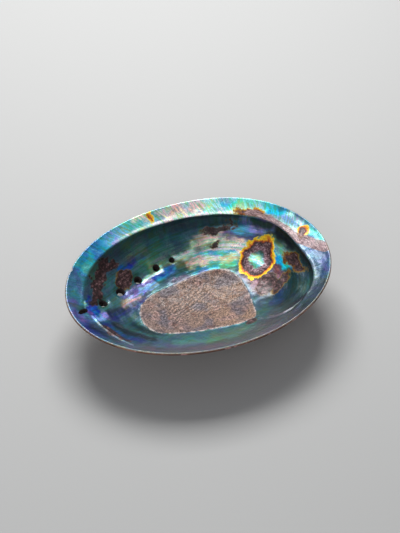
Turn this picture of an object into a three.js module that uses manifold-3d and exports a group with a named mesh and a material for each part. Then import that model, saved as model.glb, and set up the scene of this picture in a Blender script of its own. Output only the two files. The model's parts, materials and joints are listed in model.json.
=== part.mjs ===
// An abalone shell, empty and lying on its back with its opening up. Millimetres, +Z up.
//
// The shell grew as one piece, so it is one closed body. Its skin is made of cross-sections that fan
// out from the crown, the lowest point of the bowl. Each section starts on the crown, crosses the
// inside of the bowl, runs over the shelf and the rim, and comes back underneath to the crown.
// +X points to the spire end and +Y to the side with the broad shelf.

import * as THREE from 'three';
import { mergeVertices } from 'three/addons/utils/BufferGeometryUtils.js';
import Module from 'manifold-3d';

// Driving dimensions, in millimetres.
const CROWN = new THREE.Vector2(-2, 7);
const FLOOR_THICKNESS = 3.4;
const EDGE_THICKNESS = 1.8;
const CROWN_WEAR = 0.9;
const GROOVE = { depth: 1.0, halfWidth: 4.0 };
const RIDGE = { height: 1.6, halfWidth: 4.5 };
const SPIRE = { x: 48, y: -17, hollow: 3.0, hollowRadius: 14, boss: 3.4, bossRadius: 12 };
const SCAR_RISE = 0.8;
const SCAR_EDGE = 1.5;
const RIM_MARGIN = 6;
const FUNNEL = { height: 1.3, root: 1.5, flare: 2.2, lip: 1.1 };
const BORE_MARGIN = 7;

// How finely the skin is divided.
const SECTIONS = 76;
const STEPS = { floor: 9, wall: 7, lip: 3, shelf: 4, edge: 2, back: 16 };

// The rim seen from above: an oval that leans clockwise, and is fuller in the quarter between the spire
// end and the broad shelf.
const OVAL = { halfLength: 86, halfBreadth: 60.5, lean: 3, fullness: 2.5, fullestAt: 45 };

// Twelve stations round the rim, every 30 degrees of the oval, anticlockwise from the spire end.
// z         height of the rim's top edge
// shelf     1 where the nacre folds in to a flat shelf, 0 where the wall runs plainly up to the edge
// width     from the edge in to the shelf's lip
// drop      how far the lip lies below the edge
// crisp     1 for a sharp lip, 0 for one that rolls over into the bowl
// undercut  degrees by which the wall leans back under the lip
// wall      thickness of the wall below the shelf
// bowl      1 for an evenly rounded section, 0 for a flat floor that turns up late
// reach     how far the turn from the wall to the floor sweeps in
const RIM = {
  z: [39.1, 39.4, 39.6, 39.4, 39.1, 38.3, 37.6, 38.1, 38.6, 38.9, 39.1, 39.1],
  shelf: [1, 1, 1, 1, 1, 1, 0.9, 0.4, 0, 0, 0.5, 1],
  width: [17, 14, 12, 10, 10, 11, 12, 10, 8, 8, 9, 11],
  drop: [5, 5, 5, 5, 5, 5.5, 6, 7, 7.5, 7.5, 5, 4.5],
  crisp: [1, 1, 1, 1, 0.7, 0.5, 0.3, 0.2, 0.2, 0.2, 0.6, 1],
  undercut: [22, 22, 22, 14, 3, 0, 0, 0, 0, 0, 3, 12],
  wall: [6, 6.5, 7, 6, 5, 4, 3, 2.2, 1.9, 1.8, 3.6, 7],
  bowl: [0.5, 0.4, 0.32, 0.3, 0.43, 0.7, 0.95, 1, 1, 1, 0.86, 0.65],
  reach: [12, 13, 16, 17, 16, 18, 18, 17, 16, 16, 16, 15],
};

// The row of breathing holes follows the shell's growth: in from the rim, round the shelf side and
// down into the spire.
const ROW = [
  [-86, 2], [-77, 6], [-61, 15], [-46, 24], [-31, 31], [-16, 36], [-4, 38], [12, 37.5],
  [27, 34], [41, 26.5], [52, 15], [58, 1], [57, -13], [51, -23], [43, -22], [44, -16],
];

// The holes that are still open, each with its length along the row and its width across it. The
// youngest is a slot close to the rim.
const HOLES = [
  { x: -4, y: 38, length: 3.8, width: 3.4 },
  { x: -16, y: 36, length: 5.0, width: 4.3 },
  { x: -31, y: 31, length: 5.8, width: 4.8 },
  { x: -46, y: 24, length: 6.4, width: 5.2 },
  { x: -61, y: 15, length: 6.6, width: 5.0 },
  { x: -77, y: 6, length: 8.0, width: 3.4 },
];

// Older holes that the shell has closed, left as knobs that shrink towards the spire.
const KNOBS = [
  { x: 11, y: 37.5, radius: 4.2 },
  { x: 23, y: 35, radius: 3.8 },
  { x: 34, y: 31, radius: 3.4 },
  { x: 43.5, y: 24.5, radius: 3.0 },
  { x: 51, y: 16.5, radius: 2.7 },
  { x: 56, y: 8, radius: 2.4 },
];

// Outline of the scar where the muscle held, a low plateau on the floor of the bowl.
const SCAR = [
  [-38, 9], [-27, 18], [-10, 21.5], [8, 23], [20, 22], [30, 15], [33.5, 0],
  [28.5, -27], [21, -31.5], [5, -28], [-16, -23], [-35, -17], [-41, -5],
];

const turnCount = RIM.z.length;
const scarCurve = planCurve(SCAR, true);
const scarOutline = scarCurve.getPoints(120);
const rowCurve = planCurve(ROW, false);
const rowPoints = rowCurve.getPoints(240);

function planCurve(points, closed) {
  return new THREE.CatmullRomCurve3(points.map(([x, y]) => new THREE.Vector3(x, y, 0)), closed, 'catmullrom');
}

// Value of one station field at any turn, where turn k is station k, on a smooth curve through them all.
function aroundRim(name, turn) {
  const first = Math.floor(turn);
  const t = turn - first;
  const value = (k) => RIM[name][(first + k + turnCount) % turnCount];
  const slope = (value(1) - value(-1)) / 2;
  const nextSlope = (value(2) - value(0)) / 2;
  const change = value(1) - value(0);
  const squared = 3 * change - 2 * slope - nextSlope;
  const cubed = slope + nextSlope - 2 * change;
  return value(0) + t * (slope + t * (squared + t * cubed));
}

// The top edge of the rim at any turn, seen from above.
function rimPlace(turn) {
  const angle = (2 * Math.PI * turn) / turnCount;
  const lean = THREE.MathUtils.degToRad(OVAL.lean);
  const x = OVAL.halfLength * Math.cos(angle + lean);
  const y = OVAL.halfBreadth * Math.sin(angle - lean);
  const fullest = THREE.MathUtils.degToRad(OVAL.fullestAt);
  const bulge = OVAL.fullness * Math.max(Math.cos(angle - fullest), 0) ** 4;
  return new THREE.Vector2(x + bulge * Math.cos(fullest), y + bulge * Math.sin(fullest));
}

// Height of the bowl's curve, from 0 at the crown to 1 at the rim.
function dome(share, bowl) {
  return bowl * share ** 2 + (1 - bowl) * share ** 4;
}

function bell(distance, halfWidth) {
  return Math.exp(-((distance / halfWidth) ** 2));
}

function distanceTo(points, x, y) {
  return Math.min(...points.map((point) => Math.hypot(point.x - x, point.y - y)));
}

function isInside(outline, x, y) {
  let inside = false;
  outline.slice(1).forEach((b, index) => {
    const a = outline[index];
    const crosses = (a.y > y) !== (b.y > y) && x < a.x + ((y - a.y) * (b.x - a.x)) / (b.y - a.y);
    if (crosses) inside = !inside;
  });
  return inside;
}

// How far the inner skin stands up from the plain bowl at a place seen from above.
function innerRelief(x, y) {
  const groove = GROOVE.depth * bell(distanceTo(rowPoints, x, y), GROOVE.halfWidth);
  const hollow = SPIRE.hollow * bell(Math.hypot(x - SPIRE.x, y - SPIRE.y), SPIRE.hollowRadius);
  const depthInScar = distanceTo(scarOutline, x, y) * (isInside(scarOutline, x, y) ? 1 : -1);
  const scar = SCAR_RISE * THREE.MathUtils.smoothstep(depthInScar, -SCAR_EDGE, SCAR_EDGE);
  return scar - groove - hollow;
}

// How far the outer skin stands out from the plain back.
function outerRelief(x, y) {
  const ridge = RIDGE.height * bell(distanceTo(rowPoints, x, y), RIDGE.halfWidth);
  const boss = SPIRE.boss * bell(Math.hypot(x - SPIRE.x, y - SPIRE.y), SPIRE.bossRadius);
  return ridge + boss;
}

// One cross-section, as distance from the crown and height, before any relief.
function plainSection(turn) {
  const rim = rimPlace(turn);
  const radius = rim.distanceTo(CROWN);
  const rimHeight = aroundRim('z', turn);
  const width = aroundRim('width', turn);
  const drop = aroundRim('drop', turn);
  const crisp = aroundRim('crisp', turn);
  const undercut = THREE.MathUtils.degToRad(aroundRim('undercut', turn));
  const bowl = aroundRim('bowl', turn);
  const shelf = THREE.MathUtils.clamp(aroundRim('shelf', turn), 0, 1);
  const rise = rimHeight - FLOOR_THICKNESS;

  // The floor of the bowl, then the wall that sweeps up to the lip.
  const innerRadius = radius - aroundRim('wall', turn);
  const floorHeight = (distance, span) => FLOOR_THICKNESS + rise * dome(distance / span, bowl);
  const lip = new THREE.Vector2(radius - width, rimHeight - drop);
  const footDistance = lip.x - aroundRim('reach', turn);
  const foot = new THREE.Vector2(footDistance, floorHeight(footDistance, innerRadius));
  const justPast = new THREE.Vector2(footDistance + 0.1, floorHeight(footDistance + 0.1, innerRadius));
  const floorWay = justPast.sub(foot).normalize();
  const intoBowl = new THREE.Vector2(-width, -drop).normalize();
  const underLip = new THREE.Vector2(Math.sin(undercut), -Math.cos(undercut));
  const lipWay = intoBowl.clone().lerp(underLip, crisp).normalize();
  const gap = lip.distanceTo(foot);
  const roundness = 1.1 * crisp + 0.4;
  const lipBelow = lip.clone().addScaledVector(lipWay, roundness);
  const lipAbove = lip.clone().addScaledVector(intoBowl, -roundness);
  const wallCurve = new THREE.CubicBezierCurve(
    foot,
    foot.clone().addScaledVector(floorWay, gap * 0.42),
    lipBelow.clone().addScaledVector(lipWay, gap * 0.38),
    lipBelow,
  );
  const lipCurve = new THREE.QuadraticBezierCurve(lipBelow, lip, lipAbove);
  const top = new THREE.Vector2(radius - EDGE_THICKNESS * 0.6, rimHeight);
  const middle = lipAbove.clone().lerp(top, 0.5);
  middle.y -= 0.06 * width;
  const shelfCurve = new THREE.QuadraticBezierCurve(lipAbove, middle, top);

  const floor = evenly(STEPS.floor).map((t) => {
    const distance = t * footDistance;
    return new THREE.Vector2(distance, floorHeight(distance, innerRadius));
  });
  const shelved = [
    ...floor,
    ...wallCurve.getPoints(STEPS.wall).slice(0, -1),
    ...lipCurve.getPoints(STEPS.lip).slice(0, -1),
    ...shelfCurve.getPoints(STEPS.shelf).slice(0, -1),
  ];

  // Where there is no shelf, the same steps lie on a bowl that runs plainly up to the edge.
  const inner = shelved.map((point) => {
    const distance = Math.min(Math.max(point.x, 0), top.x);
    const plain = new THREE.Vector2(distance, floorHeight(distance, top.x));
    return plain.lerp(point, shelf);
  });

  // The rounded edge, then the back of the shell down to the worn crown.
  const bottom = new THREE.Vector2(radius, rimHeight - EDGE_THICKNESS * 0.75);
  const edgeCurve = new THREE.QuadraticBezierCurve(top, new THREE.Vector2(radius, rimHeight + 0.1), bottom);
  const edge = edgeCurve.getPoints(STEPS.edge).slice(0, -1);
  const back = evenly(STEPS.back).map((t) => {
    const share = Math.cos(t * Math.PI / 2) ** 0.95;
    return new THREE.Vector2(share * radius, (bottom.y + CROWN_WEAR) * dome(share, bowl) - CROWN_WEAR);
  });
  const crown = new THREE.Vector2(0, -CROWN_WEAR);
  return { rim, radius, points: [...inner, ...edge, ...back, crown], innerCount: inner.length };
}

function evenly(steps) {
  return Array.from({ length: steps }, (_, index) => index / steps);
}

// The same section in space, with the relief added along the skin's own normal.
function section(turn) {
  const { rim, radius, points, innerCount } = plainSection(turn);
  const outward = rim.clone().sub(CROWN).normalize();
  const last = points.length - 1;
  return points.map((point, index) => {
    const onAxis = index === 0 || index === last;
    const isInner = index < innerCount;
    const along = points[Math.min(index + 1, last)].clone().sub(points[Math.max(index - 1, 0)]).normalize();
    const normal = onAxis ? new THREE.Vector2(0, isInner ? 1 : -1) : new THREE.Vector2(-along.y, along.x);
    const x = CROWN.x + point.x * outward.x;
    const y = CROWN.y + point.x * outward.y;
    const fade = 1 - THREE.MathUtils.smoothstep(point.x, radius - RIM_MARGIN, radius - EDGE_THICKNESS);
    const relief = fade * (isInner ? innerRelief(x, y) : outerRelief(x, y));
    const distance = point.x + relief * normal.x;
    const height = point.y + relief * normal.y;
    return new THREE.Vector3(
      CROWN.x + distance * outward.x,
      CROWN.y + distance * outward.y,
      isInner ? height : Math.max(height, 0),
    );
  });
}

// The whole skin: a lathe gives the rings and spokes, and every vertex then moves to its section. The
// lathe turns clockwise seen from above, so the sections are taken in that order.
function skinGeometry() {
  const stepCount = section(0).length;
  const spindle = Array.from({ length: stepCount }, (_, index) => {
    const onAxis = index === 0 || index === stepCount - 1;
    return new THREE.Vector2(onAxis ? 0 : 1, stepCount - index);
  });
  const geometry = new THREE.LatheGeometry(spindle, SECTIONS);
  const position = geometry.getAttribute('position');
  for (let spoke = 0; spoke <= SECTIONS; spoke += 1) {
    const turn = (turnCount * ((SECTIONS - spoke) % SECTIONS)) / SECTIONS;
    section(turn).forEach((point, index) => {
      position.setXYZ(spoke * stepCount + index, point.x, point.y, point.z);
    });
  }
  return geometry;
}

function toSolid(geometry) {
  const bare = geometry.clone();
  bare.deleteAttribute('normal');
  bare.deleteAttribute('uv');
  const merged = mergeVertices(bare, 1e-4);
  const corners = merged.index.array;
  const triangles = [];
  for (let i = 0; i < corners.length; i += 3) {
    const [a, b, c] = corners.slice(i, i + 3);
    if (a !== b && b !== c && c !== a) triangles.push(a, b, c);
  }
  const mesh = new wasm.Mesh({
    numProp: 3,
    vertProperties: new Float32Array(merged.getAttribute('position').array),
    triVerts: new Uint32Array(triangles),
  });
  return new wasm.Manifold(mesh);
}

function toGeometry(solid) {
  const mesh = solid.getMesh();
  const geometry = new THREE.BufferGeometry();
  geometry.setAttribute('position', new THREE.BufferAttribute(mesh.vertProperties, 3));
  geometry.setIndex(new THREE.BufferAttribute(mesh.triVerts, 1));
  geometry.computeVertexNormals();
  return geometry;
}

// Which way the row of holes runs at the point of it nearest to a place, seen from above.
function rowAngle(x, y) {
  const distances = rowPoints.map((point) => Math.hypot(point.x - x, point.y - y));
  const nearest = distances.indexOf(Math.min(...distances));
  const along = rowCurve.getTangent(nearest / (rowPoints.length - 1));
  return Math.atan2(along.y, along.x);
}

// A frame on the back under a place seen from above: x along the row of holes, y into the shell, with
// its origin on the skin.
function frameOnBack(skin, x, y) {
  const up = new THREE.Vector3(0, 0, 1);
  const caster = new THREE.Raycaster(new THREE.Vector3(x, y, -1), up);
  const back = caster.intersectObject(skin)[0];
  const inward = back.face.normal.clone().negate();
  const angle = rowAngle(x, y);
  const along = new THREE.Vector3(Math.cos(angle), Math.sin(angle), 0);
  along.addScaledVector(inward, -along.dot(inward)).normalize();
  const frame = new THREE.Matrix4().makeBasis(along, inward, along.clone().cross(inward));
  return frame.setPosition(back.point);
}

// The bore of one hole. It is upright, so on the sloping wall it slants through the shell.
function holeCutter(skin, hole) {
  const caster = new THREE.Raycaster(new THREE.Vector3(hole.x, hole.y, -1), new THREE.Vector3(0, 0, 1));
  const [back, front] = caster.intersectObject(skin).map((hit) => hit.point.z);
  const bore = new THREE.CylinderGeometry(0.5, 0.5, front - back + 2 * BORE_MARGIN, 20);
  bore.rotateX(Math.PI / 2);
  bore.scale(hole.length, hole.width, 1);
  bore.rotateZ(rowAngle(hole.x, hole.y));
  bore.translate(hole.x, hole.y, (front + back) / 2);
  return toSolid(bore);
}

// The low funnel that stands round one hole on the back of the shell.
function holeFunnel(skin, hole) {
  const foot = 0.5 + FUNNEL.flare / hole.length;
  const mouth = 0.5 + FUNNEL.lip / hole.length;
  const ring = new THREE.CylinderGeometry(foot, mouth, FUNNEL.height + FUNNEL.root, 20);
  ring.translate(0, (FUNNEL.root - FUNNEL.height) / 2, 0);
  ring.scale(hole.length, 1, hole.width);
  return toSolid(ring.applyMatrix4(frameOnBack(skin, hole.x, hole.y)));
}

// A knob where an old hole closed, a flattened ball set into the back.
function closedKnob(skin, knob) {
  const ball = new THREE.SphereGeometry(knob.radius, 12, 8);
  ball.scale(1, 0.45, 1);
  ball.translate(0, knob.radius * 0.05, 0);
  return toSolid(ball.applyMatrix4(frameOnBack(skin, knob.x, knob.y)));
}

const wasm = await Module();
wasm.setup();

const skin = new THREE.Mesh(skinGeometry(), new THREE.MeshBasicMaterial({ side: THREE.DoubleSide }));
let body = toSolid(skin.geometry);
KNOBS.forEach((knob) => {
  body = body.add(closedKnob(skin, knob));
});
HOLES.slice(0, -1).forEach((hole) => {
  body = body.add(holeFunnel(skin, hole));
});
HOLES.forEach((hole) => {
  body = body.subtract(holeCutter(skin, hole));
});

// The origin is the middle of the shell's footprint on the ground.
const geometry = toGeometry(body);
geometry.computeBoundingBox();
const centre = geometry.boundingBox.getCenter(new THREE.Vector3());
geometry.translate(-centre.x, -centre.y, 0);

const nacre = new THREE.MeshStandardMaterial({ color: 0x86a9a6, roughness: 0.3, metalness: 0.35 });
nacre.name = 'nacre';
const shell = new THREE.Mesh(geometry, nacre);
shell.name = 'shell';

const abalone = new THREE.Group();
abalone.add(shell);

export default abalone;
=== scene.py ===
import json
import math

import bmesh
import bpy
import numpy as np
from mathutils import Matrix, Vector, noise

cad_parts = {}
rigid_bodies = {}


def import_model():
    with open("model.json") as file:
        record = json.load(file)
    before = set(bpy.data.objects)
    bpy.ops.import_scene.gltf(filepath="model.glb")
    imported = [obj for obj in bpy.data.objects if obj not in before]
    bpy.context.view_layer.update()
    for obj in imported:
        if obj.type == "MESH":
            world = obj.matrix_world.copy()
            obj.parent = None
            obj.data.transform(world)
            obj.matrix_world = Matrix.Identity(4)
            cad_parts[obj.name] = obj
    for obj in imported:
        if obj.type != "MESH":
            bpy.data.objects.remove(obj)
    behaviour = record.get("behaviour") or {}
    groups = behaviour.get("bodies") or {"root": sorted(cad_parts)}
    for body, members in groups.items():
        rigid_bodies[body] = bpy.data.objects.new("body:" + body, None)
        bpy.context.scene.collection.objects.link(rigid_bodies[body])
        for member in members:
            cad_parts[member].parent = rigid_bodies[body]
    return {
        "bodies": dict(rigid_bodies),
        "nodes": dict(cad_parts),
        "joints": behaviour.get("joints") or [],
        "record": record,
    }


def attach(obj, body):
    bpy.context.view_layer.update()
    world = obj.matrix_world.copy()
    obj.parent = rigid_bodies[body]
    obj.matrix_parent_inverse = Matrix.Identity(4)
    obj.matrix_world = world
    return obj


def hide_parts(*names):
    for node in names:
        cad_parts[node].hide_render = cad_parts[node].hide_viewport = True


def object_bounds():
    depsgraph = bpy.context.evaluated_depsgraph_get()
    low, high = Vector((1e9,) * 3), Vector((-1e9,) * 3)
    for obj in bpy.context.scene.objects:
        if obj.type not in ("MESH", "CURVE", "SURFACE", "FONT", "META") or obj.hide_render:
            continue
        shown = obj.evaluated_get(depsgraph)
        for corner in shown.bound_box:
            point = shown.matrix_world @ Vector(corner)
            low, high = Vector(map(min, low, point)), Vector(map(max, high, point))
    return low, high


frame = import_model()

# An abalone shell lying on its back. Its form is worked out in millimetres, as the solid's is, and the
# finished piece is in metres. Places seen from above are complex numbers: +X to the spire end, +Y to the
# side with the broad shelf.

MM = 0.001
cad_low, cad_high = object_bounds()

# ---------------------------------------------------------------- driving dimensions, as the solid has them

CROWN = complex(-2, 7)
SPIRE = complex(48, -17)
FLOOR_THICKNESS = 3.4
EDGE_THICKNESS = 1.8
CROWN_WEAR = 0.9
RIM_MARGIN = 6
SCAR_RISE = 0.8

# The rim seen from above: an oval that leans clockwise, and is fuller in the quarter between the spire
# end and the broad shelf.
HALF_LENGTH = 86
HALF_BREADTH = 60.5
LEAN = math.radians(3)
FULLNESS = 2.5
FULLEST_AT = math.radians(45)

# Twelve stations round the rim, every 30 degrees of the oval, anticlockwise from the spire end.
# z         height of the rim's top edge
# shelf     1 where the nacre folds in to a flat shelf, 0 where the wall runs plainly up to the edge
# width     from the edge in to the shelf's lip, and drop is how far the lip lies below the edge
# crisp     1 for a sharp lip, 0 for one that rolls over into the bowl
# undercut  degrees by which the wall leans back under the lip
# wall      thickness of the wall below the shelf
# bowl      1 for an evenly rounded section, 0 for a flat floor that turns up late
# reach     how far the turn from the wall to the floor sweeps in
RIM = {
    "z": (39.1, 39.4, 39.6, 39.4, 39.1, 38.3, 37.6, 38.1, 38.6, 38.9, 39.1, 39.1),
    "shelf": (1, 1, 1, 1, 1, 1, 0.9, 0.4, 0, 0, 0.5, 1),
    "width": (17, 14, 12, 10, 10, 11, 12, 10, 8, 8, 9, 11),
    "drop": (5, 5, 5, 5, 5, 5.5, 6, 7, 7.5, 7.5, 5, 4.5),
    "crisp": (1, 1, 1, 1, 0.7, 0.5, 0.3, 0.2, 0.2, 0.2, 0.6, 1),
    "undercut": (22, 22, 22, 14, 3, 0, 0, 0, 0, 0, 3, 12),
    "wall": (6, 6.5, 7, 6, 5, 4, 3, 2.2, 1.9, 1.8, 3.6, 7),
    "bowl": (0.5, 0.4, 0.32, 0.3, 0.43, 0.7, 0.95, 1, 1, 1, 0.86, 0.65),
    "reach": (12, 13, 16, 17, 16, 18, 18, 17, 16, 16, 16, 15),
}

# The row of breathing holes, in from the rim, round the shelf side and down into the spire.
ROW = (-86+2j, -77+6j, -61+15j, -46+24j, -31+31j, -16+36j, -4+38j, 12+37.5j,
       27+34j, 41+26.5j, 52+15j, 58+1j, 57-13j, 51-23j, 43-22j, 44-16j)

# Open holes: place, length along the row, width across it. The last is a slot near the rim.
HOLES = (
    (-4+38j, 3.8, 3.4),
    (-16+36j, 5.0, 4.3),
    (-31+31j, 5.8, 4.8),
    (-46+24j, 6.4, 5.2),
    (-61+15j, 6.6, 5.0),
    (-77+6j, 8.0, 3.4),
)

# Width of a hole on the outside, as a share of its width in the bowl.
HOLE_TAPER = 0.78

# Knobs on the back where older holes closed: place and radius.
KNOBS = (
    (11+37.5j, 4.2),
    (23+35j, 3.8),
    (34+31j, 3.4),
    (43.5+24.5j, 3.0),
    (51+16.5j, 2.7),
    (56+8j, 2.4),
)

# Outline of the muscle scar.
SCAR = (-38+9j, -27+18j, -10+21.5j, 8+23j, 20+22j, 30+15j, 33.5+0j,
        28.5-27j, 21-31.5j, 5-28j, -16-23j, -35-17j, -41-5j)

# How finely the visible skin is divided.
SECTIONS = 360
STEPS = {"floor": 72, "wall": 58, "lip": 10, "shelf": 24, "edge": 6, "back": 78}

# Which of the shell's materials a face has.
NACRE, CRUST, HOLE_WALL = 0, 1, 2


# ---------------------------------------------------------------- curves and fields

def between(a, b, share):
    return a + (b - a) * share


def smoothstep(value, low, high):
    share = np.clip((value - low) / (high - low), 0, 1)
    return share * share * (3 - 2 * share)


def bell(distance, half_width):
    return np.exp(-(distance / half_width) ** 2)


def cubic_through(values, turn, closed=True):
    """A smooth curve through values, where turn k is values[k]."""
    values = np.asarray(values)
    count = len(values)
    last = count if closed else count - 1
    first = np.clip(np.floor(turn), 0, last - 1).astype(int)
    t = turn - first

    def value(k):
        index = first + k
        return values[index % count] if closed else values[np.clip(index, 0, count - 1)]

    slope = (value(1) - value(-1)) / 2
    next_slope = (value(2) - value(0)) / 2
    change = value(1) - value(0)
    squared = 3 * change - 2 * slope - next_slope
    cubed = slope + next_slope - 2 * change
    return value(0) + t * (slope + t * (squared + t * cubed))


def smooth_path(points, per_span=5, closed=False):
    spans = len(points) if closed else len(points) - 1
    return cubic_through(points, np.linspace(0, spans * 0.999999, spans * per_span + 1), closed)


def distance_to(place, path):
    """Distance from each place to a line through the points of path."""
    nearest = np.full(place.shape, 1e9)
    for a, b in zip(path[:-1], path[1:]):
        way = b - a
        share = np.clip(((place - a) * np.conj(way)).real / max(abs(way) ** 2, 1e-12), 0, 1)
        nearest = np.minimum(nearest, abs(place - a - way * share))
    return nearest


def depth_inside(place, outline):
    """Distance in from a closed outline, negative outside it."""
    inside = np.zeros(place.shape, bool)
    for a, b in zip(outline[:-1], outline[1:]):
        if a.imag == b.imag:
            continue
        crossing = a.real + (place.imag - a.imag) * (b.real - a.real) / (b.imag - a.imag)
        inside ^= ((a.imag > place.imag) != (b.imag > place.imag)) & (place.real < crossing)
    return distance_to(place, outline) * np.where(inside, 1, -1)


ROW_PATH = smooth_path(ROW)
SCAR_OUTLINE = smooth_path(SCAR, closed=True)


def around_rim(name, turn):
    return cubic_through(np.array(RIM[name], float), turn)


def rim_place(turn):
    """The top edge of the rim at any turn, seen from above."""
    angle = turn * 2 * math.pi / 12
    bulge = FULLNESS * np.maximum(np.cos(angle - FULLEST_AT), 0) ** 4
    oval = HALF_LENGTH * np.cos(angle + LEAN) + 1j * HALF_BREADTH * np.sin(angle - LEAN)
    return oval + bulge * np.exp(1j * FULLEST_AT)


RIM_PATH = rim_place(np.linspace(0, 12, 361))


def growth(place):
    """Share of the way from the spire to the rim: its level lines are the growth lines."""
    rim = RIM_PATH[:-1] - SPIRE
    order = np.argsort(np.angle(rim))
    reach = np.interp(np.angle(place - SPIRE), np.angle(rim)[order], abs(rim)[order], period=2 * math.pi)
    return abs(place - SPIRE) / reach


# ---------------------------------------------------------------- form

def bezier(points, share):
    """A Bezier curve through control points, with share along its own last axis."""
    points = [p[..., None] if np.ndim(p) and p.shape[-1] != 1 else p for p in points]
    while len(points) > 1:
        points = [between(a, b, share) for a, b in zip(points, points[1:])]
    return points[0]


def dome(share, bowl):
    return bowl * share ** 2 + (1 - bowl) * share ** 4


def evenly(steps):
    return np.arange(steps) / steps


def unit(way):
    return way / abs(way)


def plain_sections(turn):
    """Cross-sections out from the crown, one row for each turn, as distance + height * 1j.

    Also gives the direction and the length of each, and how many of its steps are inside the bowl."""
    turn = turn[:, None]
    field = {name: around_rim(name, turn) for name in RIM}
    outward = rim_place(turn) - CROWN
    radius = abs(outward)
    rim_height = field["z"]
    bowl = field["bowl"]
    crisp = field["crisp"]
    shelf = np.clip(field["shelf"], 0, 1)
    rise = rim_height - FLOOR_THICKNESS

    def bowl_floor(distance, span):
        return distance + 1j * (FLOOR_THICKNESS + rise * dome(distance / span, bowl))

    inner_radius = radius - field["wall"]
    lip = radius - field["width"] + 1j * (rim_height - field["drop"])
    foot_distance = lip.real - field["reach"]
    foot = bowl_floor(foot_distance, inner_radius)
    floor_way = unit(bowl_floor(foot_distance + 0.1, inner_radius) - foot)
    into_bowl = unit(-field["width"] - 1j * field["drop"])
    undercut = np.radians(field["undercut"])
    lip_way = unit(between(into_bowl, np.sin(undercut) - 1j * np.cos(undercut), crisp))
    gap = abs(lip - foot)
    roundness = 1.1 * crisp + 0.4
    lip_below = lip + lip_way * roundness
    lip_above = lip - into_bowl * roundness
    top = radius - EDGE_THICKNESS * 0.6 + 1j * rim_height
    middle = between(lip_above, top, 0.5) - 0.06j * field["width"]
    floor_part = bowl_floor(evenly(STEPS["floor"]) * foot_distance, inner_radius)
    wall_knots = [foot, foot + floor_way * gap * 0.42, lip_below + lip_way * gap * 0.38, lip_below]
    shelved = np.concatenate([
        floor_part,
        bezier(wall_knots, evenly(STEPS["wall"])),
        bezier([lip_below, lip, lip_above], evenly(STEPS["lip"])),
        bezier([lip_above, middle, top], evenly(STEPS["shelf"])),
    ], axis=1)
    plain = bowl_floor(np.clip(shelved.real, 0, top.real), top.real)
    inner = between(plain, shelved, shelf)
    bottom = radius + 1j * (rim_height - EDGE_THICKNESS * 0.75)
    edge = bezier([top, radius + 1j * (rim_height + 0.1), bottom], evenly(STEPS["edge"]))
    share = np.cos(np.append(evenly(STEPS["back"]), 1) * math.pi / 2) ** 0.95
    back = share * radius + 1j * ((bottom.imag + CROWN_WEAR) * dome(share, bowl) - CROWN_WEAR)
    return np.concatenate([inner, edge, back], axis=1), outward / radius, radius, inner.shape[1]


def inner_relief(place):
    """How far the inside stands up from the plain bowl."""
    groove = 1.0 * bell(distance_to(place, ROW_PATH), 4.0)
    hollow = 3.0 * bell(abs(place - SPIRE), 14)
    scar = SCAR_RISE * smoothstep(depth_inside(place, SCAR_OUTLINE), -1.2, 1.2)
    return scar - groove - hollow


def outer_relief(place):
    """How far the outside stands out from the plain back."""
    ridge = 1.6 * bell(distance_to(place, ROW_PATH), 4.5)
    boss = 3.4 * bell(abs(place - SPIRE), 12)
    return ridge + boss


def skin_points():
    """The skin as an array of points, one row for each section, and the number of inner steps."""
    turn = 12 * np.arange(SECTIONS + 1) / SECTIONS % 12
    section, outward, radius, inner_count = plain_sections(turn)
    along = np.empty_like(section)
    along[:, 1:-1] = section[:, 2:] - section[:, :-2]
    along[:, 0] = 1
    along[:, -1] = -1
    normal = 1j * unit(along)
    place = CROWN + section.real * outward
    fade = 1 - smoothstep(section.real, radius - RIM_MARGIN, radius - EDGE_THICKNESS)
    inner, outer = place[:, :inner_count], place[:, inner_count:]
    relief = np.concatenate([inner_relief(inner), outer_relief(outer)], axis=1)
    section = section + normal * relief * fade
    place = CROWN + section.real * outward
    height = section.imag.copy()
    height[:, inner_count:] = np.maximum(height[:, inner_count:], 0)
    return np.stack([place.real, place.imag, height], axis=2), inner_count


# ---------------------------------------------------------------- marks, placed by the shell's features

def from_rim(turn, margin):
    """The place that far in from the rim, at a turn round it."""
    rim = rim_place(np.asarray(turn, float))
    return rim + unit(CROWN - rim) * margin


def from_row(station, offset):
    """The place that far to the shelf side of the row of holes, at a station along it."""
    station = np.asarray(station, float)
    row = np.array(ROW)
    way = cubic_through(row, station + 0.1, closed=False) - cubic_through(row, station - 0.1, closed=False)
    return cubic_through(row, station, closed=False) + 1j * unit(way) * offset


def rim_run(start, end, margin):
    """A line that runs along the rim from one turn to another."""
    return from_rim(np.linspace(start, end, 6), margin)


def row_run(start, end, offset):
    """A line that runs beside the row of holes from one station to another."""
    return from_row(np.linspace(start, end, 6), offset)


# Brown conchiolin that shows through the nacre, in ovals: middle, half length, half width, lean in
# degrees, how wide its border shines gold, and how far in it thins away.
BOWL_STAINS = (
    # the ring over the spire's mouth, the patch behind it, and the fringe that hangs from the ring
    (from_row(9.9, -4), 13.5, 12, 60, 2.1, 7),
    (from_rim(11.8, 21), 12, 3.6, 100, 0.9, 5),
    (from_row(11.9, -4), 8, 4, 35, 0.8, 6),
    (from_row(11.6, -12), 8, 5, 30, 0.3, 7),
    # between the third and fourth holes
    (from_row(3.5, 4), 7, 4.5, 30, 0.6, 5),
    # the band that leaves the lip, and a small mark below it
    (from_rim(2, 14), 11, 1.6, -15, 0.3, 5),
    (from_row(8, 2), 3.5, 1, 5, 0.5, 2),
    # beside the scar's corner
    (SCAR[8] - 3j, 4, 1.6, -10, 0.2, 5),
)
SHELF_STAINS = (
    (from_rim(1.45, 10), 12, 2.6, -35, 1.3, 6),
    (from_rim(0.3, 8), 4.5, 4, 0, 1.6, 7),
    (from_rim(3.15, 4), 3.4, 2.2, 70, 1.7, 6),
)
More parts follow.
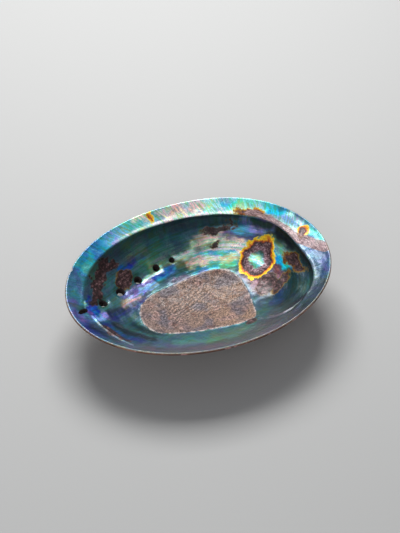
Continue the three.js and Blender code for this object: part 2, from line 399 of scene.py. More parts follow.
# These lie across the lip.
EDGE_STAINS = (
    (from_rim(4.4, 15), 8, 3, 15, 0, 9),
    (from_rim(4.9, 17), 10, 4, 50, 0, 9),
    (from_rim(5.4, 19), 7, 2.5, 40, 0, 9),
    (from_rim(6.8, 14), 13, 2.6, -55, 0, 9),
)

# Brown fibrous band, along under the lip and then out across the shelf.
FIBRES = from_rim((1.4, 1, 0.6, 0.3, 0, 11.7), (12, 13, 15, 15, 10, 2))

# Tints of the nacre, as screen colours.
TINTS = {
    "ground": (62, 92, 98),
    "slate_teal": (66, 106, 124),
    "slate": (82, 92, 116),
    "azure": (82, 158, 190),
    "lavender": (156, 170, 214),
    "aqua": (130, 204, 196),
    "rose": (228, 188, 172),
    "ice": (214, 244, 236),
    "pearl": (255, 252, 236),
    "cyan": (80, 214, 232),
    "silver": (160, 186, 178),
    "navy": (42, 62, 108),
    "mauve": (96, 82, 96),
    "violet": (94, 78, 130),
    "blue": (34, 82, 156),
    "sea": (84, 128, 116),
    "olive": (100, 98, 70),
    "teal": (44, 96, 104),
    "deep": (12, 36, 50),
    "night": (20, 22, 34),
    "sage": (136, 152, 138),
    "grape": (112, 66, 76),
    "cream": (250, 232, 196),
    "emerald": (40, 108, 80),
    "tan": (142, 124, 116),
    "pink_tan": (176, 148, 140),
    "honey": (172, 140, 108),
    "rust": (92, 40, 20),
    "pine": (20, 52, 56),
    "drab": (76, 70, 74),
}

# Where each tint lies, in the bowl and on the shelf: strokes of (reach, line).
BOWL_WASHES = {
    # painted highlight: the bright sweep beside the row of holes, from the first hole to the ring
    "pearl": (
        (1.6, row_run(6.2, 7, 0)), (2, row_run(7.6, 9.2, 1)), (1.2, row_run(7.4, 8.8, -6)),
        (4, row_run(7, 9, -1)),
    ),
    "cream": ((1.4, row_run(7, 9, 4)), (1.4, row_run(6.8, 8.6, -8))),
    "cyan": ((1.2, row_run(7, 8.8, -3)), (1.6, row_run(10.4, 11.3, 3))),
    "aqua": ((1.6, row_run(7.6, 8.8, -10)), (1.8, row_run(9.6, 10.8, 7)), (1.6, row_run(9.6, 10.2, -8))),
    "rose": ((1.2, row_run(7.2, 8.2, 7)), (1.2, row_run(6.6, 7.4, -5)), (2, row_run(2.6, 3.4, -10))),
    "ice": ((2, row_run(9.6, 10.2, -5)), (0.8, row_run(4.2, 5.2, -2)), (1.2, row_run(1, 1.4, 3))),
    "azure": ((1.4, row_run(8.6, 9.4, 9)), (1.4, row_run(4.8, 5.8, -6)), (1.6, row_run(6.8, 8, -12))),
    "lavender": ((1.6, row_run(9, 10, 12)), (1.6, row_run(0.8, 1.6, -8)), (1.2, row_run(3.2, 4.4, -8))),
    "violet": ((1.6, rim_run(1.1, 1.9, 18)), (1.8, row_run(0.6, 1.2, -3)), (2, row_run(3, 4.2, -5))),
    "blue": ((1.4, row_run(3.6, 4.6, 8)), (1.2, row_run(4.6, 5.8, -4)), (2, rim_run(5.6, 6, 16))),
    "navy": ((2.4, row_run(1.8, 3.4, -12)), (3, rim_run(10.6, 11, 30)), (3, rim_run(6.4, 7.2, 18))),
    # the green wall under the lip
    "sea": ((6, rim_run(2.4, 3.8, 20)), (3, rim_run(8, 9.4, 20)), (3, row_run(4.6, 6, 8))),
    "olive": ((3, rim_run(2.3, 3.1, 26)), (1.8, row_run(4.2, 5, 9)), (2.4, rim_run(8.8, 9.4, 24))),
    "teal": ((2.4, rim_run(2, 3.4, 14)), (2, row_run(5.8, 7, -10)), (3, rim_run(8.2, 9.6, 26))),
    "emerald": ((1.6, rim_run(1.7, 2.4, 22)), (1.2, row_run(9.2, 9.9, 14))),
    "sage": ((1.8, rim_run(0.1, 0.9, 20)), (2, rim_run(3, 3.6, 24))),
    # painted shade: dark tints in the hollows at the spire end and round the scar
    "deep": ((2, rim_run(0.2, 1.2, 17)), (5, rim_run(10.4, 11.6, 22)), (2, rim_run(6.6, 7.4, 34))),
    "pine": ((5, rim_run(10.6, 11.6, 28)), (3, rim_run(10.4, 11, 18))),
    "night": (
        (5, row_run(11.4, 12.8, -9)), (4, row_run(10.8, 11.8, -16)), (2.4, rim_run(10.2, 10.6, 14)),
        (2.4, row_run(1.8, 2.8, -10)), (2, rim_run(6.4, 7.4, 24)),
    ),
    "grape": ((2, row_run(10.6, 11.4, -3)), (3, row_run(9.8, 11, -14)), (4, row_run(10.6, 11.6, -16))),
    "slate": ((3, rim_run(7.6, 8.4, 16)), (2, row_run(10.6, 11.2, -8))),
    "mauve": ((4, rim_run(7, 10, 5)), (2, row_run(5.8, 7.4, -14)), (1.6, row_run(10.8, 11.4, -10))),
    "drab": ((7, rim_run(7.6, 10.6, 8)), (4, rim_run(9, 10.4, 18))),
}
SHELF_WASHES = {
    "ice": ((5, rim_run(1.4, 2.6, 6)), (1.6, rim_run(0.5, 0.8, 4))),
    "aqua": ((4, rim_run(2.9, 3.7, 5)), (1.6, rim_run(1.2, 2, 3)), (1.2, rim_run(11.9, 12.3, 3))),
    "rose": ((2.4, rim_run(2.7, 3, 4)), (1.6, rim_run(2.3, 2.5, 5))),
    "cream": ((1.6, rim_run(2.4, 2.9, 8)), (1.4, rim_run(3.2, 3.4, 3))),
    "cyan": ((1.6, rim_run(0.9, 1.2, 5)), (1.2, rim_run(1.8, 2, 5))),
    "azure": ((4, rim_run(4, 4.8, 6)), (2, rim_run(0.9, 1.3, 3))),
    "lavender": ((2.6, rim_run(3.7, 4, 6)), (1.4, rim_run(0.6, 0.9, 7))),
    "slate_teal": ((5, rim_run(4.9, 5.8, 6)), (5, rim_run(11.3, 11.8, 8))),
    "deep": ((5, rim_run(10.4, 11.6, 7)),),
    "night": ((3, rim_run(9.8, 10.8, 3)), (2, rim_run(6.4, 7, 8))),
    "silver": ((2.6, rim_run(0.4, 0.9, 12)),),
    "navy": ((1.8, rim_run(0.6, 1, 2)), (3, rim_run(6.3, 6.8, 5)), (2, rim_run(11, 11.4, 4))),
    "violet": ((2.6, rim_run(5.7, 6.2, 4)),),
    "slate": ((3, rim_run(10.4, 11, 5)),),
    "drab": ((5, rim_run(8.8, 10.8, 4)),),
    "mauve": ((4, rim_run(8, 10, 3)),),
}

# How strongly the shade in under the lip and the shine along its edge show, as (turn, strength).
UNDER_LIP_SHADE = ((0, 1), (1.2, 1), (2, 0.6), (3.2, 0.6), (4, 0), (10.3, 0), (11, 1), (12, 1))
LIP_SHINE = ((0, 0.1), (0.6, 0), (1.4, 0), (1.75, 1), (3.5, 1), (4.1, 0), (10.3, 0), (10.8, 0.1), (12, 0.1))

# Clouds of tint on the scar: the tint, how big they are, the shift of their noise, the noise at which
# they begin and are full, and how strong they are.
SCAR_CLOUDS = (
    ("slate", 14, 31.0, 0.0, 0.5, 0.6),
    ("mauve", 11, 37.0, 0.05, 0.5, 0.5),
    ("pink_tan", 9, 41.0, 0.1, 0.5, 0.7),
    ("rust", 5, 43.0, 0.42, 0.7, 0.6),
)

# Thin raised lines: the fold at the far end, and the ridge from the scar's corner to the shelf's end.
FOLDS = (
    (0.9, 0.9, from_rim((6.1, 6.5, 6.9, 7.3), (13, 13, 11, 8))),
    (1.0, 0.8, np.array((SCAR[8], from_rim(10.1, 15), from_rim(10.6, 10)))),
)

# A nick in the rim, and how deep and wide it is.
NICK = (from_rim(4.9, 0), 0.9, 1.6)


def stain_depth(place, stains):
    """How far each place is inside the nearest stain, negative outside, and its border and reach there."""
    depth = np.full(place.shape, -1e9)
    border = np.zeros(place.shape)
    reach = np.zeros(place.shape)
    for middle, half_length, half_width, lean, stain_border, stain_reach in stains:
        away = (place - middle) * np.exp(-1j * math.radians(lean))
        spread = np.hypot(away.real / half_length, away.imag / half_width)
        inside = (1 - spread) * min(half_length, half_width)
        deeper = inside > depth
        depth = np.where(deeper, inside, depth)
        border = np.where(deeper, stain_border, border)
        reach = np.where(deeper, stain_reach, reach)
    return depth, border, reach


def tone(name):
    """The linear colour of a tint."""
    screen = np.array(TINTS[name]) / 255
    return np.where(screen > 0.04045, ((screen + 0.055) / 1.055) ** 2.4, screen / 12.92) ** 1.12


def blended_tint(place, washes, under, share=0.16):
    """The colour at each place, blended from the tints whose strokes pass near it, over the tint under."""
    total = np.full(place.shape, share)
    colour = total[..., None] * tone(under)
    for name, strokes in washes.items():
        for reach, path in strokes:
            weight = bell(distance_to(place, path), reach) * (3 / reach) ** 1.2
            total += weight
            colour += weight[..., None] * tone(name)
    return colour / total[..., None]


# ---------------------------------------------------------------- fine form

def roughness(points, size, octaves=3, shift=0.0):
    """Smooth noise at each point, about -0.5 to 0.5, with bumps of that size in millimetres."""
    flat = points.reshape(-1, 3) / size + shift
    values = [noise.fractal(Vector(point), 1.0, 2.0, octaves) for point in flat]
    return np.array(values).reshape(points.shape[:-1])


def scar_colour(points, place):
    """The scar: tan, warmer toward the spire end, clouded with slate and mauve and specked with rust."""
    warmth = smoothstep(place.real, min(SCAR_OUTLINE.real), max(SCAR_OUTLINE.real))[..., None]
    colour = between(tone("tan"), tone("honey"), 0.5 * warmth)
    for name, size, shift, low, high, share in SCAR_CLOUDS:
        cloud = share * smoothstep(roughness(points, size, shift=shift), low, high)
        colour = between(colour, tone(name), cloud[..., None])
    return colour


def normals_of(points):
    around = np.roll(points, -1, axis=0) - np.roll(points, 1, axis=0)
    around[0] = around[-1] = points[1] - points[-2]
    along = np.gradient(points, axis=1)
    normal = np.cross(around, along)
    length = np.linalg.norm(normal, axis=2, keepdims=True)
    return -normal / np.maximum(length, 1e-9)


def scar_ripple(points, place):
    """Fine ripples across the middle of the scar, -1 to 1."""
    direction, spacing = math.radians(112), 2.3
    middle_line, half_width = (-18-1j, 2+1j), 9
    across = (place * np.exp(-1j * direction)).real
    wave = np.cos(across * 2 * math.pi / spacing + 5 * roughness(points, 9, shift=9.0))
    return wave * bell(distance_to(place, middle_line), half_width)


def inner_detail(points, place, fields):
    """Lumps, folds, shelf wrinkles and the scar's grain, as heights above the plain inside."""
    on_scar = smoothstep(fields["scar"], -1, 1)
    on_shelf = smoothstep(fields["shelf"], -0.5, 1.5)
    lumps = 0.5 * roughness(points, 14) + 0.16 * roughness(points, 4, shift=7.0)
    wrinkle_space = fields["flow"] * (38, 38, 5)
    wrinkles = 0.22 * roughness(wrinkle_space, 1.0, octaves=2, shift=21.0)
    grain = 0.16 * roughness(points, 1.7, octaves=2, shift=3.0) + 0.3 * roughness(points, 7, shift=5.0)
    scar_form = grain + 0.14 * fields["ripple"]
    lift = 0.16 * smoothstep(fields["stain"], -0.4, 0.6) * (1 - fields["gone"])
    height = lumps * (1 - on_scar) + scar_form * on_scar + wrinkles * on_shelf + lift
    for rise, half_width, path in FOLDS:
        height += rise * bell(distance_to(place, smooth_path(path)), half_width)
    return height


def outer_detail(points, fields):
    """Spiral cords, growth steps and crust, as heights above the plain back."""
    cord_count, cord_sweep = 46, 0.9
    flow = fields["flow"]
    share = flow[..., 2]
    cord_angle = np.arctan2(flow[..., 1], flow[..., 0]) - cord_sweep * np.log(np.maximum(share, 0.05))
    cords = 0.35 * np.cos(cord_angle * cord_count) * smoothstep(share, 0.15, 0.5)
    steps = 0.3 * np.cos(share * 60 + 3 * roughness(points, 30, shift=11.0))
    crust = 0.6 * roughness(points, 8, shift=13.0) + 0.25 * roughness(points, 2.5, shift=15.0)
    return cords + steps + crust


# ---------------------------------------------------------------- the mesh

def row_direction(place):
    """Which way the row of holes runs at the point of it nearest to a place."""
    nearest = min(int(np.argmin(abs(ROW_PATH - place))), len(ROW_PATH) - 2)
    return unit(ROW_PATH[nearest + 1] - ROW_PATH[nearest])


def back_frame(points, normals, inner_count, place):
    """A place on the back, with its directions there: out of the back, along the row, across it."""
    back = points[:, inner_count:]
    found = np.unravel_index(np.argmin(abs(back[:, :, 0] + 1j * back[:, :, 1] - place)), back.shape[:2])
    normal = normals[:, inner_count:][found]
    way = row_direction(place)
    along = np.array([way.real, way.imag, 0.0])
    along -= normal * (along @ normal)
    along /= np.linalg.norm(along)
    return back[found], normal, along, np.cross(along, normal)


def spread_from(points, frame, length, width):
    """Distance from the frame's own axis, where 1 is the edge of an oval of that size."""
    origin, _, along, across = frame
    away = points - origin
    return np.hypot(away @ along / (length / 2), away @ across / (width / 2))


def hole_share(place, hole):
    """Distance from a hole's upright axis, where 1 is its edge."""
    middle, length, width = hole
    away = (place - middle) * np.conj(row_direction(middle))
    return np.hypot(away.real / (length / 2), away.imag / (width / 2))


def add_holes_and_knobs(points, normals, place, inner_count, inside):
    """Rounds the holes' inner edges, and raises their funnels and the closed knobs on the back."""
    outside = 1 - inside
    for hole in HOLES:
        ahead = (hole_share(place, hole) - 1) * hole[2] / 2
        points -= (0.6 * bell(np.maximum(ahead, 0), 1.0) * inside)[..., None] * normals
    for hole in HOLES[:-1]:
        frame = back_frame(points, normals, inner_count, hole[0])
        ahead = (spread_from(points, frame, hole[1], hole[2]) - 1) * hole[2] / 2
        near = abs(place - hole[0]) < hole[1] * 2
        points += (1.2 * bell(ahead - 0.8, 1.0) * outside * near)[..., None] * frame[1]
    for middle, radius in KNOBS:
        frame = back_frame(points, normals, inner_count, middle)
        spread = spread_from(points, frame, radius * 2, radius * 2)
        near = abs(place - middle) < radius * 2
        height = 0.42 * radius * np.sqrt(np.clip(1 - spread ** 2, 0, 1)) * near
        points += (height * outside)[..., None] * frame[1]


def grid_mesh(name, points, fields):
    """A grid of the array's size, each vertex moved to its point, with one attribute for each field."""
    turns, steps = points.shape[0] - 1, points.shape[1] - 1
    bm = bmesh.new()
    bmesh.ops.create_grid(bm, x_segments=turns, y_segments=steps, size=1)
    mesh = bpy.data.meshes.new(name)
    bm.to_mesh(mesh)
    bm.free()
    flat = np.empty(len(mesh.vertices) * 3)
    mesh.vertices.foreach_get("co", flat)
    row = np.rint((flat[0::3] + 1) / 2 * turns).astype(int)
    step = np.rint((flat[1::3] + 1) / 2 * steps).astype(int)
    mesh.vertices.foreach_set("co", (points[row, step] * MM).ravel())
    for field, values in fields.items():
        kind = {2: "FLOAT", 3: "FLOAT_VECTOR"}[values.ndim]
        layer = mesh.attributes.new(field, kind, "POINT")
        slot = "value" if kind == "FLOAT" else "vector"
        layer.data.foreach_set(slot, values[row, step].astype(float).ravel())
    return mesh


def open_hole(bm, hole, shift):
    """Takes both skins away inside a hole, narrower outside, and walls it. Gives the wall's faces."""
    middle = hole[0] + complex(shift[0], shift[1])
    outside = bm.verts.layers.float["outside"]

    def share(co):
        away = (complex(co.x, co.y) / MM - middle) * row_direction(hole[0]).conjugate()
        return math.hypot(away.real / (hole[1] / 2), away.imag / (hole[2] / 2))

    doomed = [face for face in bm.faces if share(face.calc_center_median()) < 1]
    edges = {edge for face in doomed for edge in face.edges}
    bmesh.ops.delete(bm, geom=doomed, context="FACES")
    rims = [edge for edge in edges if edge.is_valid and edge.is_boundary]
    for vertex in {vertex for edge in rims for vertex in edge.verts}:
        scale = between(1, HOLE_TAPER, round(vertex[outside])) / share(vertex.co)
        moved = middle + (complex(vertex.co.x, vertex.co.y) / MM - middle) * scale
        vertex.co.x = moved.real * MM
        vertex.co.y = moved.imag * MM
    return bmesh.ops.bridge_loops(bm, edges=rims)["faces"]


def along_rim(levels, turn):
    """A level at each turn, read between (turn, level) pairs."""
    turns, values = zip(*levels)
    return np.interp(turn, turns, values)[:, None]


def shelf_side(turn, steps):
    """0 on the bowl's side of the lip and 1 on the shelf's side, which hangs over it."""
    lip_step = STEPS["floor"] + STEPS["wall"] + STEPS["lip"] / 2
    softness = 4 + 16 * (1 - np.clip(around_rim("crisp", turn), 0, 1))[:, None]
    past_lip = smoothstep((np.arange(steps) - lip_step) / softness, -0.5, 0.5)
    return past_lip * smoothstep(around_rim("shelf", turn), 0.1, 0.7)[:, None]


def wandering(points):
    """A small shift at each point, which makes the outlines of the marks ragged."""
    coarse = roughness(points, 9, shift=31.0) + 1j * roughness(points, 9, shift=37.0)
    fine = roughness(points, 3, shift=41.0) + 1j * roughness(points, 3, shift=43.0)
    return 2.5 * coarse + 0.8 * fine


def stains_at(place, past_lip):
    """How far inside a stain each place is, its border there, and how far it has thinned away."""
    bowl_stain = stain_depth(place, BOWL_STAINS + EDGE_STAINS)
    shelf_stain = stain_depth(place, SHELF_STAINS + EDGE_STAINS)
    stain, border, reach = (between(a, b, past_lip) for a, b in zip(bowl_stain, shelf_stain))
    thinning = smoothstep(stain / np.maximum(reach, 0.5), 0.65, 1.35)
    return stain, border, np.where(stain > 0, thinning, smoothstep(-stain, 2, 3))


def nacre_tint(place, turn, margin, past_lip):
    """The nacre's broad colour, with painted shade in under the lip and a painted highlight along parts of
    its edge.
    """
    from_lip = margin - around_rim("width", turn)[:, None]
    bowl_tint = blended_tint(place, BOWL_WASHES, "ground")
    shelf_tint = blended_tint(place, SHELF_WASHES, "slate_teal")
    # Painted shade in under the lip's overhang, and a painted highlight along the lip's edge.
    painted_lip_shade = smoothstep(from_lip, 2.2, -0.3) * along_rim(UNDER_LIP_SHADE, turn)
    lip_shine = bell(from_lip + 1.1, 1.2) * along_rim(LIP_SHINE, turn)
    bowl_tint = bowl_tint * (1 - 0.55 * painted_lip_shade)[..., None]
    shelf_tint = between(shelf_tint, tone("pearl"), lip_shine[..., None])
    return between(bowl_tint, shelf_tint, past_lip[..., None])


def skin_fields(points, place, turn, margin):
    """What the materials and the fine form need to know at each point of the skin."""
    way = place - SPIRE
    facing = way / np.maximum(abs(way), 1e-6)
    has_shelf = around_rim("shelf", turn)[:, None] > 0.3
    past_lip = shelf_side(turn, place.shape[1])
    marked = place + wandering(points)
    stain, border, gone = stains_at(marked, past_lip)
    return {
        "stain": stain,
        "border": border,
        "gone": gone,
        "fibres": distance_to(place, FIBRES) + 20 * (1 - past_lip),
        "scar": depth_inside(place, SCAR_OUTLINE),
        "flow": np.stack([facing.real, facing.imag, growth(place)], axis=2),
        "lane": distance_to(place, ROW_PATH),
        "margin": margin,
        "shelf": np.where(has_shelf, around_rim("width", turn)[:, None] - margin, -5),
        "tint": nacre_tint(marked, turn, margin, past_lip),
        "scar_tint": scar_colour(points, place),
        "ripple": scar_ripple(points, place),
    }


def cut_nick(points, place):
    """Pushes the rim inwards at the nick."""
    middle, depth, half_width = NICK
    push = depth * bell(abs(place - middle), half_width)
    inward = unit(CROWN - middle)
    points[:, :, 0] += push * inward.real
    points[:, :, 1] += push * inward.imag


def close_and_open(mesh, shift):
    """Joins the grid's meeting edges, gives each face its material, and opens the holes."""
    bm = bmesh.new()
    bm.from_mesh(mesh)
    bmesh.ops.remove_doubles(bm, verts=bm.verts, dist=1e-6)
    outside = bm.verts.layers.float["outside"]
    for face in bm.faces:
        on_back = all(vertex[outside] > 0.5 for vertex in face.verts)
        face.material_index = CRUST if on_back else NACRE
    for hole in HOLES:
        for face in open_hole(bm, hole, shift):
            face.material_index = HOLE_WALL
    bmesh.ops.recalc_face_normals(bm, faces=bm.faces)
    for face in bm.faces:
        face.smooth = True
    bm.to_mesh(mesh)
    bm.free()


def build_shell():
    points, inner_count = skin_points()
    low, high = points.min(axis=(0, 1)), points.max(axis=(0, 1))
    place = points[:, :, 0] + 1j * points[:, :, 1]
    inside = np.ones(place.shape)
    inside[:, inner_count + STEPS["edge"] // 2:] = 0
    turn = 12 * np.arange(SECTIONS + 1) / SECTIONS % 12
    margin = abs(rim_place(turn) - CROWN)[:, None] - abs(place - CROWN)
    fields = skin_fields(points, place, turn, margin)

    normals = normals_of(points)
    fade = smoothstep(margin, 0.5, 4)
    detail = np.where(inside > 0.5, inner_detail(points, place, fields), outer_detail(points, fields))
    points += normals * (detail * fade)[..., None]
    cut_nick(points, place)
    add_holes_and_knobs(points, normals, place, inner_count, inside)
    points[:, :, 2] = np.maximum(points[:, :, 2], 0)

    # The plain form is centred where the solid is.
    shift = np.array((cad_low + cad_high) / 2) / MM - (low + high) / 2
    shift[2] = 0
    fields["outside"] = 1 - inside
    mesh = grid_mesh("abalone_shell", points + shift, fields)
    close_and_open(mesh, shift)
    shell = bpy.data.objects.new("abalone_shell", mesh)
    bpy.context.scene.collection.objects.link(shell)
    return shell


# ---------------------------------------------------------------- materials

def linear(red, green, blue):
    """A socket's colour from screen values of 0 to 255."""
    return tuple((value / 255) ** 2.2 for value in (red, green, blue)) + (1,)


class Graph:
    """Nodes of one material, so that each call below makes one and gives its output."""

    def __init__(self, name):
        self.material = bpy.data.materials.new(name)
        self.material.use_nodes = True
        self.tree = self.material.node_tree
        self.shader = self.tree.nodes["Principled BSDF"]
        self.millimetres = self.scaled(self.node("ShaderNodeTexCoord", {}, "Object"), (1000, 1000, 1000))

    def node(self, kind, inputs, output=0, **settings):
        made = self.tree.nodes.new(kind)
        for name, value in settings.items():
            setattr(made, name, value)
        for name, value in inputs.items():
            if isinstance(value, bpy.types.NodeSocket):
                self.tree.links.new(value, made.inputs[name])
            else:
                made.inputs[name].default_value = value
        return made.outputs[output]

    def math(self, operation, a, b=0.0, clamp=False):
        return self.node("ShaderNodeMath", {0: a, 1: b}, operation=operation, use_clamp=clamp)

    def times(self, a, b):
        return self.math("MULTIPLY", a, b)

    def rest(self, share):
        """What is left of 1 beside a share."""
        return self.math("SUBTRACT", 1.0, share)

    def sum(self, *terms):
        """Adds terms, each a value or a (value, weight) pair."""
        total = 0.0
        for term in terms:
            value, weight = term if isinstance(term, tuple) else (term, 1.0)
            total = self.node("ShaderNodeMath", {0: value, 1: weight, 2: total}, operation="MULTIPLY_ADD")
        return total

    def scaled(self, vector, scale):
        return self.node("ShaderNodeVectorMath", {0: vector, 1: scale}, operation="MULTIPLY")

    def joined(self, x, y, z=0.0):
        return self.node("ShaderNodeCombineXYZ", {0: x, 1: y, 2: z})

    def field(self, name, output="Fac"):
        return self.node("ShaderNodeAttribute", {}, output, attribute_name=name)

    def noise(self, vector, scale, detail=2.0, rough=0.5, bend=0.0):
        """Smooth noise from 0 to 1."""
        inputs = {"Vector": vector, "Scale": scale, "Detail": detail, "Roughness": rough, "Distortion": bend}
        return self.node("ShaderNodeTexNoise", inputs)

    def smooth(self, value, low, high):
        """0 below low, 1 above high, and a soft step between; low may be the larger."""
        inputs = {"Value": value, "From Min": low, "From Max": high}
        return self.node("ShaderNodeMapRange", inputs, interpolation_type="SMOOTHSTEP")

    def stretch(self, value, low, high, new_low, new_high):
        inputs = {"Value": value, "From Min": low, "From Max": high, "To Min": new_low, "To Max": new_high}
        return self.node("ShaderNodeMapRange", inputs)

    def ramp(self, value, *stops):
        """A colour from stops of (position, colour)."""
        made = self.tree.nodes.new("ShaderNodeValToRGB")
        self.tree.links.new(value, made.inputs[0])
        elements = made.color_ramp.elements
        elements[0].position, elements[0].color = stops[0]
        elements[1].position, elements[1].color = stops[-1]
        for position, colour in stops[1:-1]:
            elements.new(position).color = colour
        return made.outputs[0]

    def blend(self, share, a, b, mode="MIX"):
        """Colour a, with b over it by that share."""
        return self.node("ShaderNodeMix", {0: share, 6: a, 7: b}, 2, data_type="RGBA", blend_type=mode)

    def tinted(self, colour, shift, saturation, value):
        inputs = {"Hue": shift, "Saturation": saturation, "Value": value, "Color": colour}
        return self.node("ShaderNodeHueSaturation", inputs)

    def finish(self, colour, rough, height, depth, **settings):
        """Wires the shader. Height is in millimetres times depth; settings are its plain sockets."""
        self.tree.links.new(colour, self.shader.inputs["Base Color"])
        if isinstance(rough, bpy.types.NodeSocket):
            self.tree.links.new(rough, self.shader.inputs["Roughness"])
        else:
            self.shader.inputs["Roughness"].default_value = rough
        bump = self.node("ShaderNodeBump", {"Height": height, "Strength": 1.0, "Distance": depth * MM})
        self.tree.links.new(bump, self.shader.inputs["Normal"])
        for name, value in settings.items():
            socket = self.shader.inputs[name.replace("_", " ").title().replace("Ior", "IOR")]
            if isinstance(value, bpy.types.NodeSocket):
                self.tree.links.new(value, socket)
            else:
                socket.default_value = value
        return self.material


def thin_layers(g, streak, cloud, speck):
    """Thin-layer colours: a hue that turns with the streaks, over the broad tint."""
    tint = g.field("tint", "Color")
    brightness = g.node("ShaderNodeRGBToBW", {0: tint})
    phase = g.math("FRACT", g.sum((cloud, 1.6), (streak, 3.4), (speck, 0.3)))
    rainbow = g.ramp(phase,
                     (0.0, linear(255, 205, 214)), (0.14, linear(255, 252, 236)),
                     (0.3, linear(255, 242, 168)), (0.46, linear(176, 255, 206)),
                     (0.6, linear(120, 228, 255)), (0.72, linear(240, 248, 255)),
                     (0.86, linear(200, 186, 255)), (1.0, linear(255, 205, 214)))
    colour = g.blend(g.stretch(brightness, 0.03, 0.5, 0.6, 0.75), tint, rainbow, "MULTIPLY")
    turn_hue = g.stretch(cloud, 0.3, 0.7, 0.46, 0.54)
    bright = g.sum((g.stretch(streak, 0.3, 0.7, 0.4, 1.9), 1.0), (speck, 0.7), -0.35)
    return g.tinted(colour, turn_hue, 1.08, bright)


def dark_net(g, cloud):
    """How strongly a fine net shows where the layers cross."""
    shove = g.node("ShaderNodeTexNoise", {"Vector": g.millimetres, "Scale": 0.5, "Detail": 2.0}, "Color")
    bent = g.node("ShaderNodeVectorMath", {0: g.millimetres, 1: shove}, operation="ADD")
    cells = g.node("ShaderNodeTexVoronoi", {"Vector": bent, "Scale": 0.42}, feature="DISTANCE_TO_EDGE")
    return g.times(g.smooth(cells, 0.07, 0.0), g.smooth(cloud, 0.42, 0.62))


def conchiolin_stain(g, streak, cloud, speck):
    """The stains' colour, with a border that runs through gold and rust, and where they lie."""
    ragged = g.sum(g.field("stain"), (g.noise(g.millimetres, 0.5, 4, 0.7), 3.0), (speck, 1.2), -2.1)
    border = g.times(g.field("border"), 1.25)
    ripe = g.math("DIVIDE", g.math("ADD", ragged, 0.3), g.math("ADD", border, 0.3), clamp=True)
    gold = g.ramp(ripe,
                  (0.0, linear(226, 226, 130)), (0.12, linear(244, 214, 44)), (0.4, linear(236, 184, 16)),
                  (0.6, linear(206, 112, 20)), (0.8, linear(132, 54, 26)), (1.0, linear(70, 36, 34)))
    gold = g.tinted(gold, 0.5, 1.0, g.stretch(speck, 0.35, 0.65, 0.7, 1.25))
    olive = g.ramp(ripe,
                   (0.0, linear(110, 104, 62)), (0.4, linear(96, 70, 22)), (0.75, linear(56, 28, 14)),
                   (1.0, linear(40, 24, 22)))
    dark = g.ramp(g.sum((streak, 0.5), (g.noise(g.millimetres, 0.6, 4, 0.7), 0.5)),
                  (0.38, linear(16, 9, 10)), (0.49, linear(42, 25, 26)), (0.56, linear(84, 58, 60)),
                  (0.66, linear(158, 130, 128)))
    pink = g.ramp(speck,
                  (0.35, linear(92, 58, 66)), (0.5, linear(140, 100, 112)), (0.65, linear(196, 168, 176)))
    blush = g.times(g.smooth(border, 1.0, 3.0), g.smooth(g.sum(ragged, (speck, 6.0)), 5.5, 10.0))
    dark = g.blend(g.times(blush, 0.8), dark, pink)
    wide = g.times(g.smooth(border, 0.8, 2.6), g.smooth(g.sum(cloud, (speck, 0.3)), 0.35, 0.6))
    colour = g.blend(g.smooth(ripe, 0.8, 1.0), g.blend(wide, olive, gold), dark)
    gone = g.smooth(g.sum(g.field("gone"), (speck, 0.8), -0.4), 0.25, 0.75)
    return colour, g.times(g.smooth(ragged, -0.45, 0.35), g.rest(gone))


def fibrous_band(g, flow, cloud):
    """The colour of the brown fibres along the lip, and where they lie."""
    strands = g.noise(g.scaled(flow, (16, 16, 90)), 1.0, 4, 0.7, 1.2)
    colour = g.ramp(strands,
                    (0.36, linear(44, 30, 32)), (0.48, linear(104, 80, 82)), (0.6, linear(164, 136, 136)))
    return colour, g.smooth(g.sum(g.field("fibres"), (cloud, 3.0), -1.5), 4.4, 3.2)


def muscle_scar(g):
    """The scar's dull colour, where it lies with its ragged edge, and its grain."""
    wobble = g.noise(g.millimetres, 0.35, 4, 0.65)
    depth = g.sum(g.field("scar"), (wobble, 2.4), -1.2)
    grain = g.noise(g.millimetres, 0.95, 4, 0.8, 0.8)
    pits = g.ramp(grain,
                  (0.38, linear(46, 38, 48)), (0.46, linear(132, 118, 124)), (0.54, linear(236, 222, 216)),
                  (0.64, linear(255, 255, 255)))
    colour = g.blend(0.9, g.field("scar_tint", "Color"), pits, "MULTIPLY")
    ripple = g.stretch(g.field("ripple"), -0.8, 0.8, -0.5, 0.5)
    colour = g.tinted(colour, 0.5, 1.0, g.sum((g.stretch(grain, 0.3, 0.7, 0.3, 1.7), 1.0), (ripple, 1.0)))
    pale = g.times(g.smooth(depth, 1.5, 0.2), g.smooth(wobble, 0.42, 0.6))
    colour = g.blend(g.times(pale, 0.6), colour, linear(214, 204, 200))
    return colour, g.smooth(depth, -0.25, 0.25), grain


